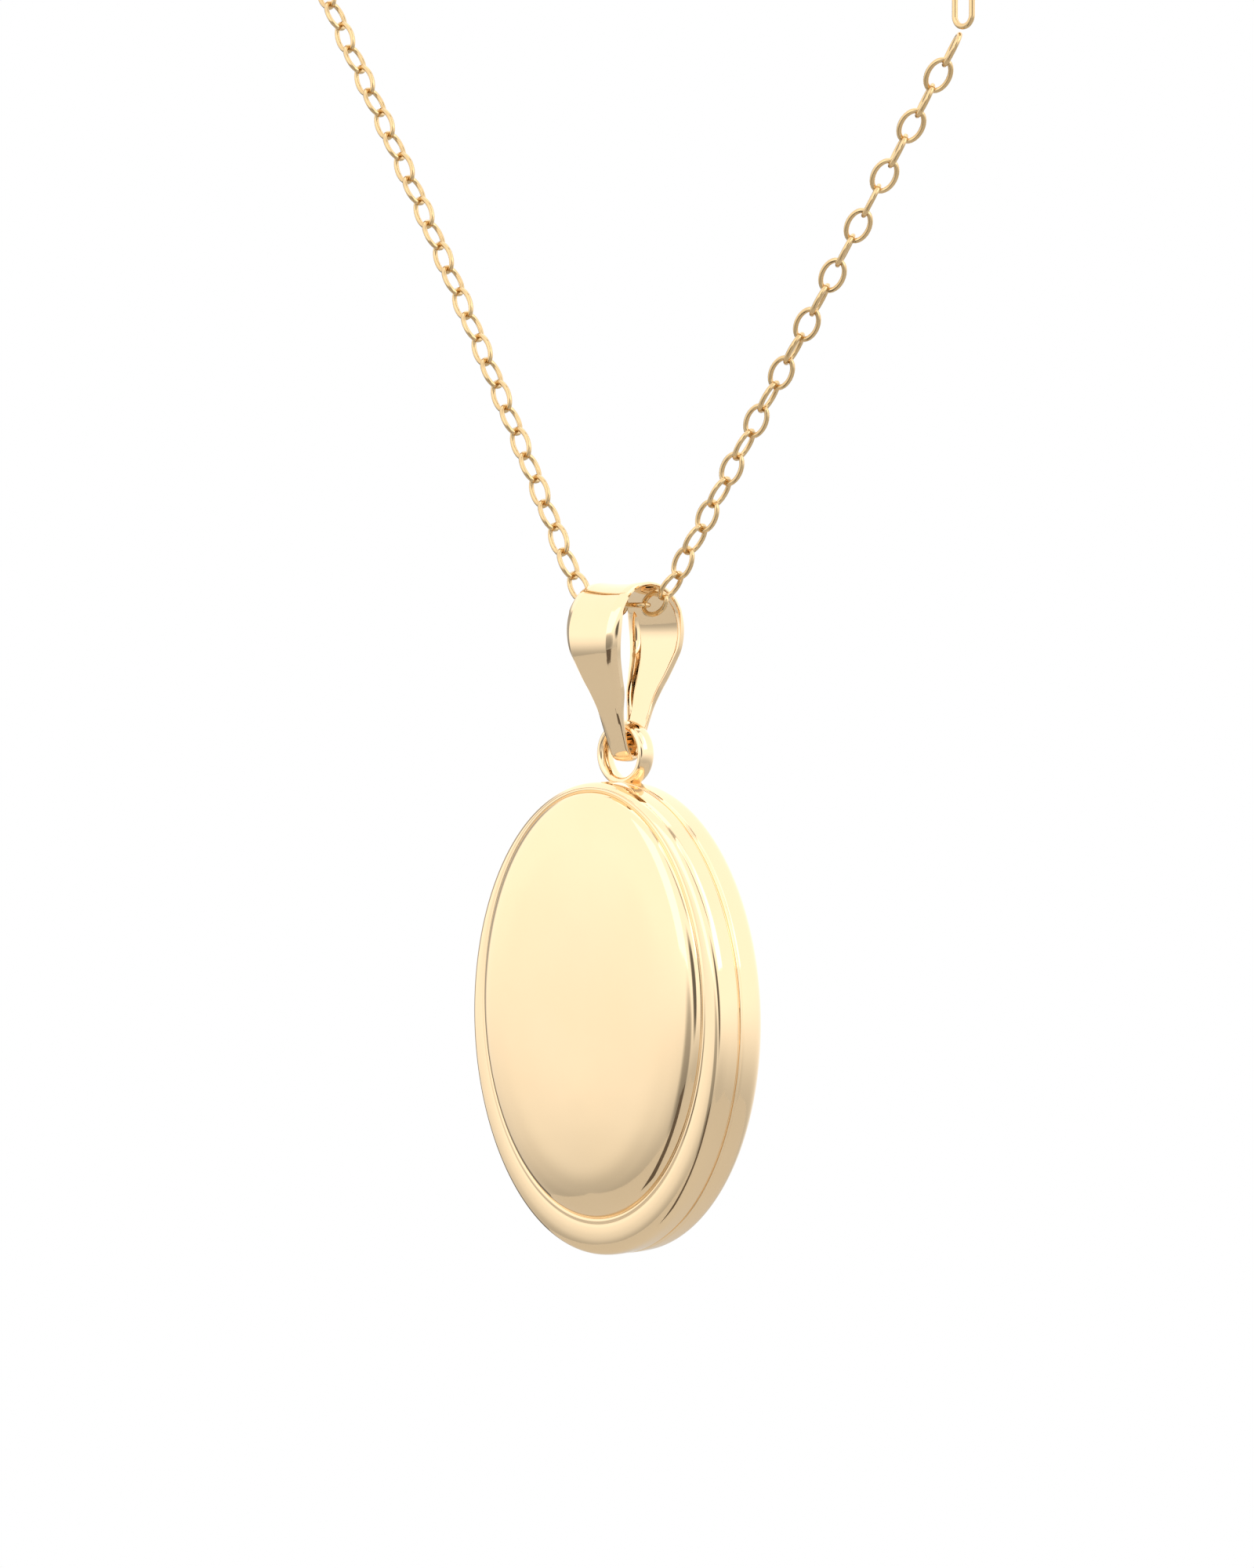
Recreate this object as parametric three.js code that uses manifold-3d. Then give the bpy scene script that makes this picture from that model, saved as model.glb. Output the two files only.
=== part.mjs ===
// Oval locket on a cable chain, with a tapered bail, hinged covers and a spring ring clasp.
// Millimetres, +Z up. The front faces -Y and the hinge is on the -X side.
// The origin is on the chain's centreline, where the bail hangs on it.
import * as THREE from 'three';
import { mergeVertices } from 'three/addons/utils/BufferGeometryUtils.js';
import Module from 'manifold-3d';

const wasm = await Module();
wasm.setup();

// Case: an oval of two half shells that meet at the seam plane.
const halfWidth = 11.1;
const halfHeight = 15.05;
const wall = 0.45;
const seamGap = 0.2;
const sideDepth = 1.45;
const beadDepth = 1.8;
const beadInset = 0.35;
const grooveInset = 1.55;
const grooveExtraInset = 0;
const plateauLift = 0.9;
const plateauDepth = 2.6;
const frontDepth = 3.1;
const backSideDepth = 2.0;
const backDepth = 3.0;
const backFlatShare = 0.62;
const plateauInset = 2.6;
const crownStart = 0.13;
const ringEdge = 0.18;
const ringFootHalf = 1.0;

// Hanging parts.
const ringToSeam = 1.25;
const ringOuter = 2.15;
const ringThickness = 0.7;
const ringBand = 1.3;
const ringToBail = 0.13;
const ringSink = 0.4;
const bailTopRadius = 3.3;
const bailBottomRadius = 0.72;
const bailHeight = 11.4;
const bailStrip = 0.4;
const bailToChain = 0.2;
const bailEdge = 2.6;

// Hinge along the left edge, and the fit of its pieces.
const knuckleRadius = 0.5;
const pinRadius = 0.25;
const runningGap = 0.04;
const solderGap = 0.05;
const knuckleSink = 0.22;
const hingeRoom = 0.12;
const knuckleLength = 1.3;
const knuckleGap = 0.12;
const knuckleCount = 5;
const lugReach = 0.8;
const lugBack = 0.1;

// Inside: rims, photo frames, windows and photo blanks, stacked inwards from the seam.
const rimBand = 0.4;
const rimLip = 0.38;
const rimFit = 0.15;
const rimTop = 0.35;
const ledgeWidth = 0.9;
const ledgeThickness = 0.12;
const frameToRim = 0.2;
const frameWidth = 0.9;
const stackTop = 0.12;
const frameThickness = 0.22;
const windowThickness = 0.2;
const photoThickness = 0.12;
const layerGap = 0.04;
const notchLength = 2.4;
const notchDepth = 0.35;

// Chain and what is on its ends.
const linkWidth = 1.65;
const endGap = 0.3;
const linkPlay = 0.1;
const chainSides = 8;
const chainSteps = 80;
const endLinkLength = 8.4;
const endLinkWidth = 1.7;
const endLinkWire = 0.36;
const endRingOuter = 3.6;
const endRingWire = 0.46;
const claspLinkOuter = 2.6;
const claspLinkWire = 0.42;
const claspRadius = 2.3;
const claspTube = 1.25;
const claspBore = 0.76;
const claspBolt = 0.56;
const claspMouth = 52;
const claspTravel = 42;
const claspFit = 8;
const eyeOuter = 2.2;
const eyeWire = 0.42;
const knobRadius = 0.19;
const knobLength = 1.1;
const capRadius = 0.32;
const capHeight = 0.3;
const slotWidth = 0.5;
const slotEnd = 9;
const springWire = 0.1;
const springRadius = 0.22;
const springTurns = 7;

const ovalSegments = 44;
const hiddenSegments = 32;

const bailTop = linkWidth / 2 + bailToChain + bailStrip;
const bailHighCentre = bailTop - bailTopRadius;
const bailLowCentre = bailTop - bailHeight + bailBottomRadius;
const bailLean = Math.asin((bailTopRadius - bailBottomRadius) / (bailHighCentre - bailLowCentre));

// The ring's band lies where the bail's inside is wide enough for it, and the case hangs on the ring.
const bandRoom = (ringBand / 2 + ringToBail) * Math.cos(bailLean) - (bailBottomRadius - bailStrip);
const bandUnderside = bailLowCentre + bandRoom / Math.sin(bailLean);
const ringToSeat = ringOuter - ringThickness - bandUnderside;
const seatToCentre = ringToSeat + ringOuter - ringSink + halfHeight;

const hingeOffset = knuckleRadius - knuckleSink;
const frameInset = wall + rimFit + rimBand + frameToRim;

const gold = { color: 0xe6c488, roughness: 0.16, metalness: 1 };
const wornGold = { color: 0xdcb677, roughness: 0.28, metalness: 1 };
const steel = { color: 0xb9bcc0, roughness: 0.35, metalness: 1 };
const clear = { color: 0xf4f6f6, roughness: 0.08, metalness: 0, transparent: true, opacity: 0.3 };
const paper = { color: 0xf1ece0, roughness: 0.9, metalness: 0 };

const degrees = THREE.MathUtils.degToRad;
const locket = new THREE.Group();

function solid(geometry) {
  const bare = geometry.clone();
  bare.deleteAttribute('normal');
  bare.deleteAttribute('uv');
  const merged = mergeVertices(bare, 1e-4);
  return new wasm.Manifold(new wasm.Mesh({
    numProp: 3,
    vertProperties: new Float32Array(merged.attributes.position.array),
    triVerts: new Uint32Array(merged.index.array),
  }));
}

function fromSolid(manifold) {
  const mesh = manifold.getMesh();
  const geometry = new THREE.BufferGeometry();
  geometry.setAttribute('position', new THREE.BufferAttribute(mesh.vertProperties, 3));
  geometry.setIndex(new THREE.BufferAttribute(mesh.triVerts, 1));
  geometry.computeVertexNormals();
  return geometry;
}

function addNode(parent, name, geometry, finish) {
  const mesh = new THREE.Mesh(geometry, new THREE.MeshStandardMaterial(finish));
  mesh.name = name;
  parent.add(mesh);
  return mesh;
}

// One oval of a lofted solid: its half axes, its depth along Y and how far it sits above centre.
function oval(halfX, halfZ, y, lift = 0) {
  return { halfX, halfZ, y, lift };
}

function rim(inset, y, extra = 0, lift = 0) {
  return oval(halfWidth - inset, halfHeight - inset - extra, y, lift);
}

function centre(y, lift = 0) {
  return oval(0, 0, y, lift);
}

// Lofts a stack of ovals by reshaping the rings of a lathed solid.
function loft(ovals, segments) {
  const profile = ovals.map((o) => new THREE.Vector2(o.halfX, o.y));
  const geometry = new THREE.LatheGeometry(profile, segments);
  const position = geometry.attributes.position;
  for (let i = 0; i < position.count; i += 1) {
    const o = ovals[i % ovals.length];
    const turn = (Math.floor(i / ovals.length) % segments) * 2 * Math.PI / segments;
    position.setXYZ(i, o.halfX * Math.sin(turn), o.y, o.halfZ * Math.cos(turn) + o.lift);
  }
  return geometry;
}

// An oval band between two insets, from one depth to another.
function band(insetOut, insetIn, yFrom, yTo, segments = hiddenSegments) {
  const ovals = [rim(insetIn, yFrom), rim(insetOut, yFrom), rim(insetOut, yTo), rim(insetIn, yTo)];
  return loft([...ovals, ovals[0]], segments);
}

function plate(inset, yFrom, yTo) {
  return loft([centre(yFrom), rim(inset, yFrom), rim(inset, yTo), centre(yTo)], hiddenSegments);
}

// The face of the front cover: side wall, rolled bead, groove and raised oval plateau.
function frontFace(grow) {
  const step = grooveExtraInset;
  const lift = plateauLift;
  const top = halfWidth - plateauInset;
  const high = halfHeight - step - plateauInset;
  const crown = frontDepth - plateauDepth - crownStart;
  return [
    rim(0.04 - grow, -seamGap / 2),
    rim(-grow, -sideDepth / 2),
    rim(0.05 - grow, -sideDepth),
    rim(0.15 - grow, -beadDepth + 0.1 - grow),
    rim(beadInset, -beadDepth - grow),
    rim(grooveInset - 0.3, -beadDepth + 0.06 - grow, step * 0.6, lift * 0.7),
    rim(grooveInset, -beadDepth - 0.02 - grow, step, lift),
    rim(grooveInset + 0.1, -plateauDepth + 0.35 - grow, step, lift),
    rim(grooveInset + 0.3, -plateauDepth + 0.08 - grow, step, lift),
    oval(top + 0.5, high + 0.5, -plateauDepth - 0.06 - grow, lift),
    oval(top * 0.8, high * 0.8, -plateauDepth - crownStart - crown * 0.45 - grow, lift),
    oval(top * 0.45, high * 0.45, -frontDepth + crown * 0.15 - grow, lift),
    centre(-frontDepth - grow, lift),
  ];
}

// The plain back: a straight side, a rounded shoulder and a flat middle.
function backFace(grow) {
  const flatX = halfWidth * backFlatShare;
  const flatZ = halfHeight * backFlatShare;
  return [
    rim(0.04 - grow, seamGap / 2),
    rim(-grow, backSideDepth * 0.3),
    rim(0.03 - grow, backSideDepth * 0.7),
    rim(0.16 - grow, backSideDepth + grow),
    rim(0.45 - grow * 0.7, backSideDepth + 0.42 + grow * 0.7),
    rim(1.0 - grow * 0.5, backSideDepth + 0.7 + grow),
    rim(2.0, backDepth - 0.11 + grow),
    oval(flatX, flatZ, backDepth + grow),
    centre(backDepth + grow),
  ];
}

// A shell: its outer face from the seam to the middle, and the same ovals pulled in by the wall.
function shell(face, towards) {
  const open = face.slice(1, -1).filter((o) => (o.y * towards - wall) > seamGap / 2 + 0.1);
  const lining = open.map((o) => oval(
    Math.max(o.halfX - wall, 0.3),
    Math.max(o.halfZ - wall, 0.4),
    o.y - towards * wall,
    o.lift,
  ));
  const mouth = oval(halfWidth - wall, halfHeight - wall, towards * seamGap / 2);
  const last = face[face.length - 1];
  const floor = centre(last.y - towards * wall, last.lift);
  const ovals = [...[...face].reverse(), mouth, ...lining, floor];
  return loft(towards < 0 ? ovals : ovals.reverse(), ovalSegments);
}

function cylinderAlongZ(radius, length, sides = 16) {
  const geometry = new THREE.CylinderGeometry(radius, radius, length, sides);
  return geometry.rotateX(Math.PI / 2);
}

function tubeAlongZ(outer, inner, length, sides = 16) {
  const corners = [[inner, -length / 2], [outer, -length / 2], [outer, length / 2], [inner, length / 2]];
  const profile = [...corners, corners[0]].map(([r, y]) => new THREE.Vector2(r, y));
  return new THREE.LatheGeometry(profile, sides).rotateX(Math.PI / 2);
}

function block(x0, x1, y0, y1, z0, z1) {
  const geometry = new THREE.BoxGeometry(x1 - x0, y1 - y0, z1 - z0);
  return geometry.translate((x0 + x1) / 2, (y0 + y1) / 2, (z0 + z1) / 2);
}

// The case hangs below the seat, with its seam plane in front of the ring.
const caseGroup = new THREE.Group();
caseGroup.position.set(0, -ringToSeam, -seatToCentre);
locket.add(caseGroup);

const hingeX = -(halfWidth + hingeOffset);
const knucklePitch = knuckleLength + knuckleGap;
const hingeLength = knucklePitch * knuckleCount;

function hingeClearance() {
  const room = cylinderAlongZ(knuckleRadius + hingeRoom, hingeLength + 2 * knuckleGap);
  return solid(room.translate(hingeX, 0, 0));
}

function frontShell() {
  const body = solid(shell(frontFace(0), -1));
  const notch = block(halfWidth - 0.25, halfWidth + 1, -notchDepth, 0, -notchLength / 2, notchLength / 2);
  return fromSolid(body.subtract(hingeClearance()).subtract(solid(notch)));
}

function backShell() {
  return fromSolid(solid(shell(backFace(0), 1)).subtract(hingeClearance()));
}

// The case's outer form with a solder gap round it, which trims what is soldered to it.
function caseForm() {
  const front = [...frontFace(solderGap)].reverse();
  return solid(loft([...front, ...backFace(solderGap)], ovalSegments));
}

function knuckle(index) {
  const side = index % 2 === 0 ? 1 : -1;
  const z = (index - (knuckleCount - 1) / 2) * knucklePitch;
  const barrel = solid(tubeAlongZ(knuckleRadius, pinRadius + runningGap, knuckleLength));
  const half = knuckleLength / 2;
  const lug = solid(block(-lugBack, hingeOffset + 0.5, pinRadius, lugReach, -half, half));
  const bore = solid(cylinderAlongZ(pinRadius + runningGap, knuckleLength * 2));
  const placed = barrel.add(lug).subtract(bore);
  const geometry = fromSolid(placed);
  if (side < 0) {
    geometry.rotateX(Math.PI);
  }
  geometry.translate(hingeX, 0, z);
  return fromSolid(solid(geometry).subtract(caseForm()));
}

// A rim soldered inside a half: a band along the wall, and the ledge that the photo lies on.
function innerRim(towards, bandStart) {
  const depth = rimDepths(towards);
  const outer = wall + rimFit;
  const wallBand = band(outer, outer + rimBand, ...sorted(towards * bandStart, depth.ledgeEnd));
  const ledge = band(outer + 0.05, frameInset + ledgeWidth, ...sorted(depth.ledge, depth.ledgeEnd));
  return fromSolid(solid(wallBand).add(solid(ledge)));
}

// Depths of the stack in one half, counted from the seam: frame, window, photo, ledge.
function rimDepths(towards) {
  const frame = stackTop;
  const windowTop = frame + frameThickness + layerGap;
  const photoTop = windowTop + windowThickness + layerGap;
  const ledge = photoTop + photoThickness + layerGap;
  const signed = (value) => towards * value;
  return {
    frame: signed(frame),
    frameEnd: signed(frame + frameThickness),
    window: signed(windowTop),
    windowEnd: signed(windowTop + windowThickness),
    photo: signed(photoTop),
    photoEnd: signed(photoTop + photoThickness),
    ledge: signed(ledge),
    ledgeEnd: signed(ledge + ledgeThickness),
  };
}

function sorted(a, b) {
  return a < b ? [a, b] : [b, a];
}

function addPhotoStack(side, towards) {
  const depth = rimDepths(towards);
  const frame = band(frameInset, frameInset + frameWidth, ...sorted(depth.frame, depth.frameEnd));
  const pane = plate(frameInset + 0.1, ...sorted(depth.window, depth.windowEnd));
  const photo = plate(frameInset + 0.15, ...sorted(depth.photo, depth.photoEnd));
  addNode(caseGroup, `${side}_photo_frame`, frame, gold);
  addNode(caseGroup, `${side}_window`, pane, clear);
  addNode(caseGroup, `${side}_photo_blank`, photo, paper);
}

function snapRim() {
  return band(wall + rimFit, wall + rimFit + rimBand * 0.8, -rimLip, rimTop - solderGap);
}

addNode(caseGroup, 'front_cover', frontShell(), gold);
addNode(caseGroup, 'back_case', backShell(), gold);
addNode(caseGroup, 'front_inner_rim', innerRim(-1, rimLip + rimFit), wornGold);
addNode(caseGroup, 'back_inner_rim', innerRim(1, rimTop), wornGold);
addNode(caseGroup, 'snap_rim', snapRim(), wornGold);
addPhotoStack('front', -1);
addPhotoStack('back', 1);
for (let i = 0; i < knuckleCount; i += 1) {
  const side = i % 2 === 0 ? 'back' : 'front';
  addNode(caseGroup, `hinge_knuckle_${side}_${Math.floor(i / 2) + 1}`, knuckle(i), gold);
}
const pin = cylinderAlongZ(pinRadius, hingeLength - knuckleGap).translate(hingeX, 0, 0);
addNode(caseGroup, 'hinge_pin', pin, steel);

// Eye ring: a flat band on edge, soldered to the top of the back case by a small foot.
function eyeRing() {
  const inner = ringOuter - ringThickness;
  const r = ringEdge;
  const half = ringBand / 2;
  const corners = [
    [inner + r, -half], [ringOuter - r, -half], [ringOuter, -half + r], [ringOuter, half - r],
    [ringOuter - r, half], [inner + r, half], [inner, half - r], [inner, -half + r],
  ];
  const profile = [...corners, corners[0]].map(([x, y]) => new THREE.Vector2(x, y));
  const hoop = solid(new THREE.LatheGeometry(profile, 28));
  const foot = solid(block(
    -ringFootHalf, ringFootHalf, -half + solderGap, half - solderGap, -ringOuter - ringSink, -ringOuter + 0.5,
  ));
  const form = caseForm().translate([0, -ringToSeam, ringToSeat - seatToCentre]);
  const seamSide = solid(block(-3, 3, -3, -ringToSeam + seamGap / 2, -4, -1.6));
  const trimmed = hoop.add(foot).subtract(form).subtract(seamSide);
  return fromSolid(trimmed);
}
addNode(locket, 'eye_ring', eyeRing(), gold).position.set(0, 0, -ringToSeat);

// Bail: a strip folded into a drop, widest near the top and narrow where the eye ring hangs.
function dropOutline(inset, Kind) {
  const big = bailTopRadius - inset;
  const small = bailBottomRadius - inset;
  const path = new Kind();
  path.absarc(0, bailHighCentre, big, -bailLean, Math.PI + bailLean, false);
  path.absarc(0, bailLowCentre, small, Math.PI + bailLean, 2 * Math.PI - bailLean, false);
  path.closePath();
  return path;
}

// Half widths of the strip, at distances below the bail's top.
const bailWidths = [
  [-0.4, 2.2], [1.0, 2.3], [2.2, 2.32], [3.3, 2.26], [4.4, 2.12], [5.2, 1.92], [6.2, 1.66],
  [7.1, 1.4], [8.25, 1.06], [10, 0.86], [12, 0.78],
];

function bail() {
  const outline = dropOutline(0, THREE.Shape);
  outline.holes.push(dropOutline(bailStrip, THREE.Path));
  const width = 2 * bailEdge;
  const drop = new THREE.ExtrudeGeometry(outline, { depth: width, bevelEnabled: false, curveSegments: 14 });
  drop.translate(0, 0, -width / 2);
  drop.applyMatrix4(new THREE.Matrix4().makeBasis(
    new THREE.Vector3(0, 1, 0),
    new THREE.Vector3(0, 0, 1),
    new THREE.Vector3(1, 0, 0),
  ));
  const right = bailWidths.map(([down, half]) => new THREE.Vector2(half, bailTop - down));
  const left = right.map((p) => new THREE.Vector2(-p.x, p.y)).reverse();
  const face = new THREE.Shape();
  face.moveTo(right[0].x, right[0].y);
  face.splineThru(right.slice(1));
  face.lineTo(left[0].x, left[0].y);
  face.splineThru(left.slice(1));
  face.closePath();
  const deep = 2 * bailTopRadius + 2;
  const prism = new THREE.ExtrudeGeometry(face, { depth: deep, bevelEnabled: false, curveSegments: 2 });
  prism.translate(0, 0, -deep / 2).rotateX(Math.PI / 2);
  return fromSolid(solid(drop).intersect(solid(prism)));
}
addNode(locket, 'bail', bail(), gold);

// Chain: its route in the X-Z plane, up to the left, through the bail and up to the right.
const chainRoute = [
  [-28.9, 42.8], [-26.1, 38.1], [-22.6, 32.6], [-18.8, 26.5], [-14.4, 19.1], [-10.0, 11.5],
  [-7.1, 6.3], [-5.5, 3.4], [-4.45, 1.55], [-3.95, 0.95], [-3.3, 0.36], [-2.5, 0.02], [-1.5, 0],
  [0, 0], [1.3, 0], [2.3, 0.02], [3.1, 0.36], [3.75, 0.95], [4.3, 1.6], [5.5, 3.3],
  [7.9, 6.6], [11.9, 12.2], [16.0, 17.8], [20.9, 24.6], [25.0, 30.1], [27.2, 33.1],
];

function chain() {
  const points = chainRoute.map(([x, z]) => new THREE.Vector3(x, 0, z));
  const path = new THREE.CatmullRomCurve3(points, false, 'centripetal');
  const section = new THREE.Shape();
  section.absarc(0, 0, linkWidth / 2, 0, 2 * Math.PI, false);
  return new THREE.ExtrudeGeometry(section, {
    extrudePath: path, steps: chainSteps, curveSegments: chainSides / 2, bevelEnabled: false,
  });
}
addNode(locket, 'chain', chain(), gold);

// A ring of round wire in the X-Z plane, or a long link when it is stretched along Z.
function wireRing(outerDiameter, wire, stretch = 0, segments = 20) {
  const geometry = new THREE.TorusGeometry((outerDiameter - wire) / 2, wire / 2, 8, segments);
  geometry.rotateX(Math.PI / 2);
  const position = geometry.attributes.position;
  for (let i = 0; i < position.count; i += 1) {
    const z = position.getZ(i);
    position.setZ(i, z + Math.sign(z) * (Math.abs(z) > 1e-6 ? stretch / 2 : 0));
  }
  return geometry;
}

const [endX, endZ] = chainRoute[chainRoute.length - 1];
const endLinkX = endX + 0.9;
const endLinkBottom = endZ + linkWidth / 2 + endGap;
const endLink = wireRing(endLinkWidth, endLinkWire, endLinkLength - endLinkWidth, 18);
addNode(locket, 'chain_end_link', endLink, gold)
  .position.set(endLinkX, 0, endLinkBottom + endLinkLength / 2);

const endRing = wireRing(endRingOuter, endRingWire).rotateZ(Math.PI / 2);
const endRingBottom = endLinkBottom + endLinkLength - endLinkWire - endRingWire - linkPlay;
addNode(locket, 'chain_end_ring', endRing, gold)
  .position.set(endLinkX, 0, endRingBottom + endRingOuter / 2);

// Clasp group: its own Z runs on along the left strand.
const [startX, startZ] = chainRoute[0];
const [nextX, nextZ] = chainRoute[1];
const strandLean = Math.atan2(startX - nextX, startZ - nextZ);
const claspGroup = new THREE.Group();
claspGroup.position.set(startX, 0, startZ);
claspGroup.rotation.y = strandLean;
locket.add(claspGroup);

const claspLink = wireRing(claspLinkOuter, claspLinkWire).rotateZ(Math.PI / 2);
const claspLinkZ = endGap + claspLinkOuter / 2;
addNode(claspGroup, 'clasp_link', claspLink, gold).position.z = claspLinkZ;

const eyeZ = claspLinkZ + claspLinkOuter / 2 - claspLinkWire - eyeWire - linkPlay + eyeOuter / 2;
addNode(claspGroup, 'clasp_eye', wireRing(eyeOuter, eyeWire), gold).position.z = eyeZ;
const claspZ = eyeZ + eyeOuter / 2 + solderGap + claspRadius + claspTube / 2;

// An arc of the clasp's ring, in the X-Z plane, measured in degrees from +X towards +Z.
class RingArc extends THREE.Curve {
  constructor(radius, from, to) {
    super();
    this.radius = radius;
    this.from = degrees(from);
    this.to = degrees(to);
  }

  getPoint(t, target = new THREE.Vector3()) {
    const angle = this.from + (this.to - this.from) * t;
    return target.set(this.radius * Math.cos(angle), 0, this.radius * Math.sin(angle));
  }
}

function arcTube(from, to, diameter, steps, sides = 8) {
  const section = new THREE.Shape();
  section.absarc(0, 0, diameter / 2, 0, 2 * Math.PI, false);
  return new THREE.ExtrudeGeometry(section, {
    extrudePath: new RingArc(claspRadius, from, to), steps, curveSegments: sides / 2, bevelEnabled: false,
  });
}

// The mouth is centred on the side away from the eye; the bolt crosses it from the left.
const mouthStart = 60;
const mouthEnd = mouthStart + claspMouth;
const knobAngle = mouthEnd + 22;
const boltEnd = mouthEnd + 62;
const boreEnd = mouthEnd + 150;

function claspCase() {
  const tube = solid(arcTube(mouthEnd, mouthStart + 360, claspTube, 22));
  const bore = solid(arcTube(mouthEnd - claspFit, boreEnd, claspBore, 14));
  const socket = solid(arcTube(mouthStart - 2 * claspFit, mouthStart + claspFit, claspBore, 3));
  const slot = solid(slotBlock(knobAngle - slotEnd, knobAngle + claspTravel + slotEnd));
  return fromSolid(tube.subtract(bore).subtract(socket).subtract(slot));
}

// The slot that the knob slides along, cut through the outside of the tube.
function slotBlock(from, to) {
  const shape = new THREE.Shape();
  const outer = claspRadius + claspTube;
  shape.absarc(0, 0, outer, degrees(from), degrees(to), false);
  shape.absarc(0, 0, claspRadius, degrees(to), degrees(from), true);
  shape.closePath();
  const slot = new THREE.ExtrudeGeometry(shape, { depth: slotWidth, bevelEnabled: false, curveSegments: 8 });
  return slot.translate(0, 0, -slotWidth / 2).rotateX(Math.PI / 2);
}

function claspBoltPiece() {
  const rod = solid(arcTube(mouthStart - claspFit, boltEnd, claspBolt, 12));
  const knob = new THREE.CylinderGeometry(knobRadius, knobRadius, knobLength, 10);
  knob.translate(0, claspRadius + knobLength / 2, 0);
  const cap = new THREE.CylinderGeometry(capRadius, capRadius, capHeight, 10);
  cap.translate(0, claspRadius + knobLength, 0);
  const turned = [knob, cap].map((g) => solid(g.rotateZ(degrees(knobAngle - 90)).rotateX(Math.PI / 2)));
  return fromSolid(rod.add(turned[0]).add(turned[1]));
}

// The spring fills the bore behind the bolt.
class SpringPath extends THREE.Curve {
  constructor(from, to, turns, radius) {
    super();
    Object.assign(this, { from: degrees(from), to: degrees(to), turns, radius });
  }

  getPoint(t, target = new THREE.Vector3()) {
    const angle = this.from + (this.to - this.from) * t;
    const wind = 2 * Math.PI * this.turns * t;
    const r = claspRadius + this.radius * Math.cos(wind);
    return target.set(r * Math.cos(angle), this.radius * Math.sin(wind), r * Math.sin(angle));
  }
}

function claspSpring() {
  const section = new THREE.Shape();
  section.absarc(0, 0, springWire / 2, 0, 2 * Math.PI, false);
  const path = new SpringPath(boltEnd + 3, boreEnd - 4, springTurns, springRadius);
  return new THREE.ExtrudeGeometry(section, {
    extrudePath: path, steps: 70, curveSegments: 2, bevelEnabled: false,
  });
}

addNode(claspGroup, 'clasp_case', claspCase(), gold).position.z = claspZ;
addNode(claspGroup, 'clasp_bolt', claspBoltPiece(), gold).position.z = claspZ;
addNode(claspGroup, 'clasp_spring', claspSpring(), steel).position.z = claspZ;

export default locket;
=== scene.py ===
# Oval locket on a cable chain: the looks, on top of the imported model.
import math

import bmesh
import bpy
from mathutils import Matrix, Vector


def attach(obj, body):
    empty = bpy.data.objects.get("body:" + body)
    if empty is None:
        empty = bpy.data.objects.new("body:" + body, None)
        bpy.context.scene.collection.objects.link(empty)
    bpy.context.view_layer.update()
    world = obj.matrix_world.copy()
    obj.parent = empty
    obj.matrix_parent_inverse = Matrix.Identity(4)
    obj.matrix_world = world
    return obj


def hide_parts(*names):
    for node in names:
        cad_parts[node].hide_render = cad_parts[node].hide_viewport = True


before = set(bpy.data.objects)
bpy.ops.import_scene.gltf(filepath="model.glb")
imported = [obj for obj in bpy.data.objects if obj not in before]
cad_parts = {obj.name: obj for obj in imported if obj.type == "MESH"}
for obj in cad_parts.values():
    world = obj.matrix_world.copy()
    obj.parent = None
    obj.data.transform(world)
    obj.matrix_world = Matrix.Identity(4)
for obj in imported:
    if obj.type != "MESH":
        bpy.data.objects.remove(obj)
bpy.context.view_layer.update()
mm = 0.001
print("stage: frame loaded")


def linearColour(hexText):
    channels = [int(hexText[i:i + 2], 16) / 255 for i in (1, 3, 5)]
    linear = [c / 12.92 if c <= 0.04045 else ((c + 0.055) / 1.055) ** 2.4 for c in channels]
    return (*linear, 1.0)


def addNode(tree, kind, inputs=None, **settings):
    node = tree.nodes.new(kind)
    for name, value in settings.items():
        setattr(node, name, value)
    for name, value in (inputs or {}).items():
        if isinstance(value, bpy.types.NodeSocket):
            tree.links.new(value, node.inputs[name])
        else:
            node.inputs[name].default_value = value
    return node


def makeObject(name, data):
    piece = bpy.data.objects.new(name, data)
    bpy.context.scene.collection.objects.link(piece)
    return piece


def newMaterial(name, plain):
    # plain holds what is the same all over the surface
    material = bpy.data.materials.new(name)
    material.use_nodes = True
    shader = material.node_tree.nodes["Principled BSDF"]
    for socket, value in plain.items():
        shader.inputs[socket].default_value = value
    return material, material.node_tree, shader


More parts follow.
